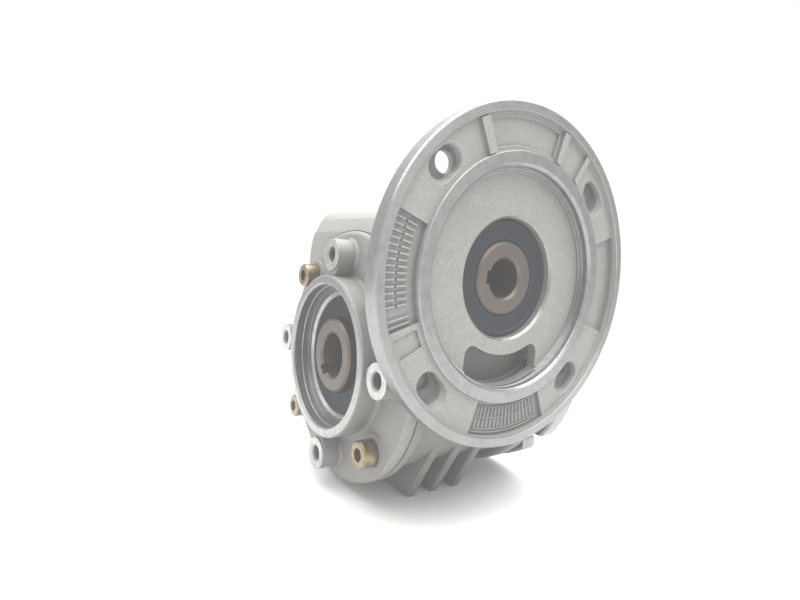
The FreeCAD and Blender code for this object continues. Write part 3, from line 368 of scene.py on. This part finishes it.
# Each mask function below returns where faces are turned, where shade is painted into holes, and the lines
# of the tool, with painted highlights added on some faces
def flange_faces(f):
    """Motor flange: turned rim, register ring and seal bore, painted shade in mouths, a lower wall with a
    painted highlight.
    """
    r = f.radius(f.y, f.z - worm_height)
    rim = f.above(f.x, flange_face - 0.9) * f.above(r, rim_inner_r - 0.4)
    edge = f.above(r, flange_r - 0.9)
    ring = f.above(f.x, recess_floor + 0.3) * f.between(r, spigot_r - 3.2, ring_outer_r + 0.2)
    bore = f.above(f.x, recess_floor - seal_mouth) * f.below(r, input_seal_r)
    below_panels = f.between(f.x, mouth_floor - 0.25, panel_floor - 0.5, 0.1)
    # Painted shade in the deep mouths round the bolts
    mouths = below_panels * f.between(r, ring_outer_r + 0.4, rim_inner_r - 0.4)
    # Painted highlight on the lower wall of the register ring
    painted_highlight = f.between(r, spigot_r - 3.4, spigot_r + 0.5) * f.below(f.z, highlight_wall_top, 20.0)
    return f.either(rim, edge, ring, bore), mouths * 0.75, turning_lines(f, r + f.x) + painted_highlight * 1.8


def side_faces(f, along):
    """One side about the output axis: turned pilot ring, seal bore and boss faces, painted shade in tapped
    holes.

    The boss faces, the seal's chamfer and the lower half of the ring get a painted highlight.
    """
    r = f.radius(f.x, f.z)
    ring = f.above(along, ring_face - 0.5)
    bore = f.above(along, seal_floor - seal_mouth) * f.below(r, pilot_r + 1.2)
    boss = f.above(along, boss_face - 0.25, 0.1) * f.above(r, pilot_r + 6.7)
    # Painted shade in the tapped holes
    tapped = f.between(along, disc_face - 3.0, boss_face - 0.9, 0.4)
    tapped = tapped * f.below(hole_radius(f), boss_hole_r + 0.5, 0.3)
    chamfer = f.between(r, seal_bore_r, seal_bore_r + seal_chamfer)
    chamfer = chamfer * f.between(along, seal_floor - seal_mouth, seal_floor + 0.1)
    low_ring = ring * f.below(f.z, highlight_ring_top, 26.0) * (1 - boss)
    # Painted highlights on the boss faces, the seal's chamfer and the lower half of the ring
    painted_highlight = chamfer * 1.6 + boss * 2.4 + low_ring * 1.5
    return f.either(ring, bore, boss), tapped, turning_lines(f, r + along) + painted_highlight


def cover_faces(f):
    """Side cover: its outside looks towards -Y."""
    return side_faces(f, 0 - f.y)


def housing_faces(f):
    """Case: far side as on the cover, turned rear bore, and painted shade on the wall behind the motor
    flange's slot.
    """
    far, tapped, lines = side_faces(f, f.y)
    r = f.radius(f.y, f.z - worm_height)
    bore = f.below(f.x, rear_face + rear_bore_depth) * f.below(r, rear_bore_r)
    # Painted shade on the wall behind the slot
    behind_slot = f.between(f.x, front_wall, slot_back)
    behind_slot = behind_slot * f.between(r, slot_inner_r, spigot_r - 0.2)
    return f.either(far, bore), f.either(tapped, behind_slot * 0.6), lines


def output_flange_faces(f):
    """Output flange: turned all over except its slanted back."""
    r = f.radius(f.x, f.z)
    return f.above(f.y, output_flange_back), 0, turning_lines(f, r + f.y)


def yellow_zinc():
    """Gold chromate over zinc: uneven film, brighter where it has rubbed off on the edges."""
    f = Finish("yellow_zinc_screws")
    film = f.noise(3.2, 3.0, 0.6)
    speck = f.noise(0.6, 2.0, 0.6)
    rounded = f.soft_edge(0.35)
    open_air = f.crevice(5.0)
    colour = f.blend(f.above(film, 0.5, 0.2), zinc_thin, zinc_thick)
    colour = f.blend(f.edge_share(rounded) * open_air * 0.7, colour, zinc_rubbed)
    # Dirt and painted shade in the corners
    colour = f.blend((1 - open_air) * 0.7, colour, zinc_dirt_and_shade)
    return f.surface(colour, 0.24 + 0.16 * speck, 0.95, 0.02 * speck + 0.02 * film, rounded)


def plain_metal(name, dark, light, roughness, film_size=4.0):
    """Bare or plated metal with an uneven film, rubbed edges, and dirt and painted shade in its corners."""
    f = Finish(name)
    film = f.noise(film_size, 3.0, 0.6)
    speck = f.noise(0.5, 2.0, 0.6)
    rounded = f.soft_edge(0.3)
    open_air = f.crevice(4.0)
    colour = f.blend(f.above(film, 0.5, 0.25), rgb(*dark), rgb(*light))
    colour = f.blend(f.edge_share(rounded) * open_air * 0.5, colour, metal_rubbed)
    # Dirt and painted shade in the corners
    colour = f.blend((1 - open_air) * 0.6, colour, metal_dirt_and_shade)
    return f.surface(colour, roughness + 0.18 * film, 0.95, 0.02 * (speck + film), rounded)


def oiled_shaft(name, radius_of):
    """Turned steel with a brown film of old oil, the face ringed by the tool."""
    f = Finish(name)
    lines = turning_lines(f, radius_of(f), 0.9)
    film = f.noise(8.0, 4.0, 0.65)
    speck = f.noise(0.7, 2.0, 0.6)
    rounded = f.soft_edge(0.5)
    open_air = f.crevice(6.0)
    steel = f.tint(shaft_steel, 0.8 + 0.3 * lines)
    colour = f.blend(f.above(film, 0.52, 0.16), steel, shaft_oil)
    colour = f.blend(f.edge_share(rounded) * open_air * 0.5, colour, shaft_rubbed)
    # Dirt and painted shade in the corners
    colour = f.blend((1 - open_air) * 0.55, colour, shaft_dirt_and_shade)
    return f.surface(colour, 0.34 + 0.22 * film, 0.85, 0.012 * lines + 0.03 * speck, rounded)


def about_output(f):
    """Rings about the output axis, moved on along it so that the bore has them too."""
    return f.radius(f.x, f.z) + f.y


def about_worm(f):
    """Rings about the worm's axis, moved on along it so that the bore has them too."""
    return f.radius(f.y, f.z - worm_height) + f.x


def seal_rubber():
    """Moulded rubber, blue black, with a dusty bloom and rubbed lips."""
    f = Finish("seal_rubber")
    bloom = f.noise(5.0, 4.0, 0.65)
    speck = f.noise(0.6, 2.0, 0.7)
    rounded = f.soft_edge(0.4)
    open_air = f.crevice(4.0)
    colour = f.blend(bloom, rubber_black, rubber_dusty)
    colour = f.blend(f.edge_share(rounded) * open_air * 0.4, colour, rubber_rubbed)
    height = 0.03 * speck + 0.05 * bloom
    return f.surface(colour, 0.42 + 0.2 * speck, 0.0, height, rounded, specular=0.13)


def gasket_fibre():
    """Pressed fibre, matt and uneven."""
    f = Finish("gasket_fibre")
    fibre = f.noise(1.2, 4.0, 0.7)
    colour = f.blend(fibre, fibre_dark, fibre_pale)
    return f.surface(colour, 0.85 + 0.1 * fibre, 0.0, 0.05 * fibre)


def make_finishes():
    """One finish per material slot, and one per node where the turned faces differ."""
    return {
        "gearbox_housing": cast_aluminium("cast_housing", housing_faces, 0.30, low_brown_share=0.45),
        "side_cover": cast_aluminium("cast_cover", cover_faces, 0.235, low_brown_share=0.12),
        "motor_flange": cast_aluminium("cast_motor_flange", flange_faces, 0.235),
        "output_flange": cast_aluminium("cast_output_flange", output_flange_faces, 0.26),
        "output_shaft": oiled_shaft("oiled_output_shaft", about_output),
        "worm_shaft": oiled_shaft("oiled_worm_shaft", about_worm),
        "yellow_zinc": yellow_zinc(),
        "zinc_steel": plain_metal("bright_zinc", (0.44, 0.44, 0.43), (0.56, 0.56, 0.54), 0.22),
        "bearing_steel": plain_metal("bearing_steel", (0.50, 0.50, 0.51), (0.58, 0.58, 0.59), 0.14, 9.0),
        "cage_steel": plain_metal("pressed_cage", (0.40, 0.39, 0.37), (0.48, 0.47, 0.45), 0.30),
        "spring_steel": plain_metal("phosphated_spring", (0.09, 0.09, 0.095), (0.15, 0.15, 0.155), 0.42),
        "bronze": plain_metal("turned_bronze", (0.46, 0.29, 0.11), (0.58, 0.40, 0.18), 0.26),
        "copper_washer": plain_metal("copper_washer", (0.50, 0.25, 0.14), (0.62, 0.35, 0.22), 0.28),
        "seal_rubber": seal_rubber(),
        "gasket": gasket_fibre(),
    }


def dress_nodes(finishes):
    """Gives every piece of the frame its finish."""
    slots = {part["node"]: part["material_slot"] for part in frame["record"]["subparts"]}
    for name, node in frame["nodes"].items():
        node.data.materials.clear()
        node.data.materials.append(finishes.get(name) or finishes[slots[name]])


def cast_piece(name, shapes, finish):
    """A new mesh on the case, from sets of points and faces in millimetres, smooth with crisp edges."""
    crisp_angle = 35
    points = []
    faces = []
    for some_points, some_faces in shapes:
        start = len(points)
        points += [point * MM for point in some_points]
        faces += [tuple(index + start for index in face) for face in some_faces]
    mesh = bpy.data.meshes.new(name)
    mesh.from_pydata(points, [], faces)
    mesh.validate()
    mesh.polygons.foreach_set("use_smooth", [True] * len(mesh.polygons))
    mesh.materials.append(finish)
    made = bpy.data.objects.new(name, mesh)
    bpy.context.scene.collection.objects.link(made)
    crisp = made.modifiers.new("crisp", "EDGE_SPLIT")
    crisp.split_angle = math.radians(crisp_angle)
    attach(made, "case")


def swept(section, stations, ring=False):
    """Points and faces of a closed section carried along stations of (origin, across, up)."""
    points = []
    faces = []
    count = len(section)
    for origin, across, up in stations:
        points += [origin + across * a + up * u for a, u in section]
    spans = len(stations) if ring else len(stations) - 1
    for i in range(spans):
        j = (i + 1) % len(stations)
        for k in range(count):
            n = (k + 1) % count
            faces.append((i * count + k, i * count + n, j * count + n, j * count + k))
    if not ring:
        last = (len(stations) - 1) * count
        faces.append(tuple(reversed(range(count))))
        faces.append(tuple(range(last, last + count)))
    return points, faces


def on_panel(r, angle):
    """Place on the floor of the motor flange's panels, its angle counted from +Y as the motor sees it."""
    turn = math.radians(angle)
    return Vector((panel_floor, r * math.cos(turn), worm_height + r * math.sin(turn)))


def rib_section(width, height):
    """Cast rib with drafted sides and a rounded top, its foot sunk below the floor."""
    half = width / 2
    foot = -0.3
    shoulder = height * 0.7
    return [(-half, foot), (half, foot), (half * 0.8, shoulder), (half * 0.45, height),
            (-half * 0.45, height), (-half * 0.8, shoulder)]


def arc_rib(r, start, end, width, height):
    """Rib along a circle of the motor flange."""
    step_angle = 1.5
    steps = max(4, int(abs(end - start) / step_angle))
    stations = []
    for i in range(steps + 1):
        angle = start + (end - start) * i / steps
        turn = math.radians(angle)
        across = Vector((0, math.cos(turn), math.sin(turn)))
        stations.append((on_panel(r, angle), across, Vector((1, 0, 0))))
    return swept(rib_section(width, height), stations)


def spoke_rib(angle, inner, outer, width, height):
    """Rib along a radius of the motor flange."""
    turn = math.radians(angle)
    across = Vector((0, -math.sin(turn), math.cos(turn)))
    stations = [(on_panel(r, angle), across, Vector((1, 0, 0))) for r in (inner, outer)]
    return swept(rib_section(width, height), stations)


def side_grid(finish):
    """Plain grid of two columns of cells with a groove between them, closed by a double bar below."""
    inner = panel_inner_r + 4.6
    outer = panel_outer_r - 1.3
    groove_r = 85.3
    half_groove = 0.6
    start = 162.6
    end = 196.4
    rows = 15
    bar_step = 2.2
    rib = (1.7, 1.5)
    bar = (1.6, 1.8)
    ribs = []
    for i in range(rows - 1):
        angle = start + (end - start) * i / rows
        ribs.append(spoke_rib(angle, inner, groove_r - half_groove, *rib))
        ribs.append(spoke_rib(angle, groove_r + half_groove, outer, *rib))
    for angle in (end, end + bar_step):
        ribs.append(spoke_rib(angle, inner, outer, *bar))
    cast_piece("flange_grid_side", ribs, finish)


def low_grid(finish):
    """Plain grid of two rows of cells, with a second frame outside it."""
    inner = panel_inner_r + 2.6
    middle = 83.2
    outer = panel_outer_r - 3.4
    start = 256.0
    end = 290.0
    cells = 16
    frame_r = outer + 1.9
    frame_step = 1.2
    rib = (0.8, 1.1)
    frame_arc = (1.0, 1.4)
    frame_side = (0.9, 1.2)
    ribs = [arc_rib(r, start, end, *rib) for r in (inner, middle, outer)]
    for i in range(cells + 1):
        angle = start + (end - start) * i / cells
        ribs.append(spoke_rib(angle, inner, outer, *rib))
    ribs.append(arc_rib(frame_r, start - frame_step, end + frame_step, *frame_arc))
    ribs.append(spoke_rib(start - frame_step, inner, frame_r, *frame_side))
    cast_piece("flange_grid_low", ribs, finish)


def boss_places():
    """Middle of each boss as x and z, at the four quarters."""
    places = []
    for quarter in range(4):
        turn = math.radians(90 * quarter)
        places.append((boss_circle_r * math.cos(turn), boss_circle_r * math.sin(turn)))
    return places


def spot_places():
    """Middle of each cover screw as x and z, on the diagonals."""
    half = screw_circle_r * math.sqrt(0.5)
    return [(half, half), (-half, half), (-half, -half), (half, -half)]


def boss_threads(finish):
    """Screw thread cut in each tapped hole of the cover."""
    pitch = 1.5
    steps = 24
    deep = boss_face - tapped_depth + 1.0
    turns = int((tapped_depth - 2.6) / pitch)
    ridge = [(0.06, -0.7), (0.06, 0.7), (-0.42, 0.1), (-0.42, -0.1)]
    threads = []
    for x, z in boss_places():
        stations = []
        for i in range(turns * steps + 1):
            turn = 2 * math.pi * i / steps
            out = Vector((math.cos(turn), 0, math.sin(turn)))
            along = deep + pitch * i / steps
            origin = Vector((x, -along, z)) + out * boss_hole_r
            stations.append((origin, out, Vector((0, -1, 0))))
        threads.append(swept(ridge, stations))
    cast_piece("cover_boss_threads", threads, finish)


def cove_section(radius):
    """Concave fillet between a floor and a wall, its corner at the origin and sunk a little into both."""
    steps = 6
    corner = -0.3
    sunk = 0.02
    section = [(corner, corner)]
    for i in range(steps + 1):
        turn = math.radians(90 * i / steps)
        section.append((radius - radius * math.sin(turn), radius - radius * math.cos(turn) - sunk))
    return section


def cove_rings(name, places, r, side, radius, finish):
    """Cast fillets where round bosses stand on a disc; side is the way they stand along Y."""
    steps = 64
    rings = []
    for x, z in places:
        stations = []
        for i in range(steps):
            turn = 2 * math.pi * i / steps
            out = Vector((math.cos(turn), 0, math.sin(turn)))
            stations.append((Vector((x, side * disc_face, z)) + out * r, out, Vector((0, side, 0))))
        rings.append(swept(cove_section(radius), stations, ring=True))
    cast_piece(name, rings, finish)


def add_cast_details(finishes):
    """Grids of the motor flange, then threads and fillets of the cover and of the case's far side."""
    flange = finishes["motor_flange"]
    cover = finishes["side_cover"]
    housing = finishes["gearbox_housing"]
    side_grid(flange)
    low_grid(flange)
    boss_threads(cover)
    cove_rings("cover_boss_fillets", boss_places(), boss_r, -1, boss_fillet_r, cover)
    cove_rings("cover_spot_fillets", spot_places(), spot_r, -1, spot_fillet_r, cover)
    cove_rings("far_boss_fillets", boss_places(), boss_r, 1, boss_fillet_r, housing)


def pale_floor():
    """Round sheet under the feet, pale and matt."""
    f = Finish("pale_floor")
    tone = f.noise(400.0, 2.0, 0.5)
    colour = f.blend(tone, floor_dull, floor_pale)
    finish = f.surface(colour, 0.7 + 0.05 * tone, 0.0)
    count = 96
    reach = 950.0
    points = [Vector((0, 0, base_z)) * MM]
    for i in range(count):
        turn = 2 * math.pi * i / count
        points.append(Vector((reach * math.cos(turn), reach * math.sin(turn), base_z)) * MM)
    faces = [(0, i + 1, (i + 1) % count + 1) for i in range(count)]
    mesh = bpy.data.meshes.new("floor")
    mesh.from_pydata(points, [], faces)
    mesh.materials.append(finish)
    floor = bpy.data.objects.new("floor", mesh)
    bpy.context.scene.collection.objects.link(floor)


def soft_box(name, place, target, size, power):
    """Square studio light aimed at a point; place, target and size are in metres."""
    data = bpy.data.lights.new(name, "AREA")
    data.shape = "SQUARE"
    data.size = size
    data.energy = power
    lamp = bpy.data.objects.new(name, data)
    lamp.location = place
    aim = Vector(target) - Vector(place)
    lamp.rotation_euler = aim.to_track_quat("-Z", "Y").to_euler()
    bpy.context.scene.collection.objects.link(lamp)


def studio_light():
    """White surroundings, a wide box above and a weak one on the motor's side, with dark tones lifted."""
    surroundings = 1.02
    dark_lift = 0.105
    world = bpy.data.worlds.new("studio")
    world.use_nodes = True
    background = world.node_tree.nodes["Background"]
    background.inputs["Color"].default_value = rgb(1.0, 1.0, 1.0)
    background.inputs["Strength"].default_value = surroundings
    bpy.context.scene.world = world
    soft_box("top_box", (0.05, 0.0, 1.30), (0.0, 0.0, 0.0), size=2.4, power=84.0)
    soft_box("motor_side_box", (1.50, 0.55, 0.55), (0.05, 0.0, 0.05), size=0.9, power=3.0)
    view = bpy.context.scene.view_settings
    view.view_transform = "Standard"
    view.use_curve_mapping = True
    view.curve_mapping.black_level = (-dark_lift, -dark_lift, -dark_lift)
    view.curve_mapping.update()


def lens_haze():
    """White background spilling over the silhouette, as in the photo's pale edges."""
    spill = {"Threshold": 0.95, "Clamp": True, "Maximum": 1.0, "Strength": 0.18, "Size": 0.5}
    scene = bpy.context.scene
    scene.use_nodes = True
    nodes = scene.node_tree.nodes
    nodes.clear()
    picture = nodes.new("CompositorNodeRLayers")
    haze = nodes.new("CompositorNodeGlare")
    haze.glare_type = "BLOOM"
    for key, value in spill.items():
        haze.inputs[key].default_value = value
    shown = nodes.new("CompositorNodeComposite")
    links = scene.node_tree.links
    links.new(picture.outputs["Image"], haze.inputs["Image"])
    links.new(haze.outputs["Image"], shown.inputs["Image"])


def photo_camera():
    """Camera at the photo's place: its back direction, then its roll about it."""
    azimuth = math.radians(camera_azimuth)
    elevation = math.radians(camera_elevation)
    roll = math.radians(camera_roll)
    reach = math.cos(elevation)
    back = Vector((math.sin(azimuth) * reach, -math.cos(azimuth) * reach, math.sin(elevation)))
    level = Vector((math.cos(azimuth), math.sin(azimuth), 0))
    upright = back.cross(level)
    right = level * math.cos(roll) + upright * math.sin(roll)
    up = upright * math.cos(roll) - level * math.sin(roll)
    data = bpy.data.cameras.new("photo_camera")
    data.lens = data.sensor_width * focal_pixels / picture_width
    data.clip_start = 0.01
    data.clip_end = 100.0
    camera = bpy.data.objects.new("photo_camera", data)
    turn = Matrix((right, up, back)).transposed().to_4x4()
    camera.matrix_world = Matrix.Translation(Vector(camera_place) * MM) @ turn
    bpy.context.scene.collection.objects.link(camera)
    bpy.context.scene.camera = camera


finishes = make_finishes()
dress_nodes(finishes)
add_cast_details(finishes)
pale_floor()
studio_light()
lens_haze()
photo_camera()
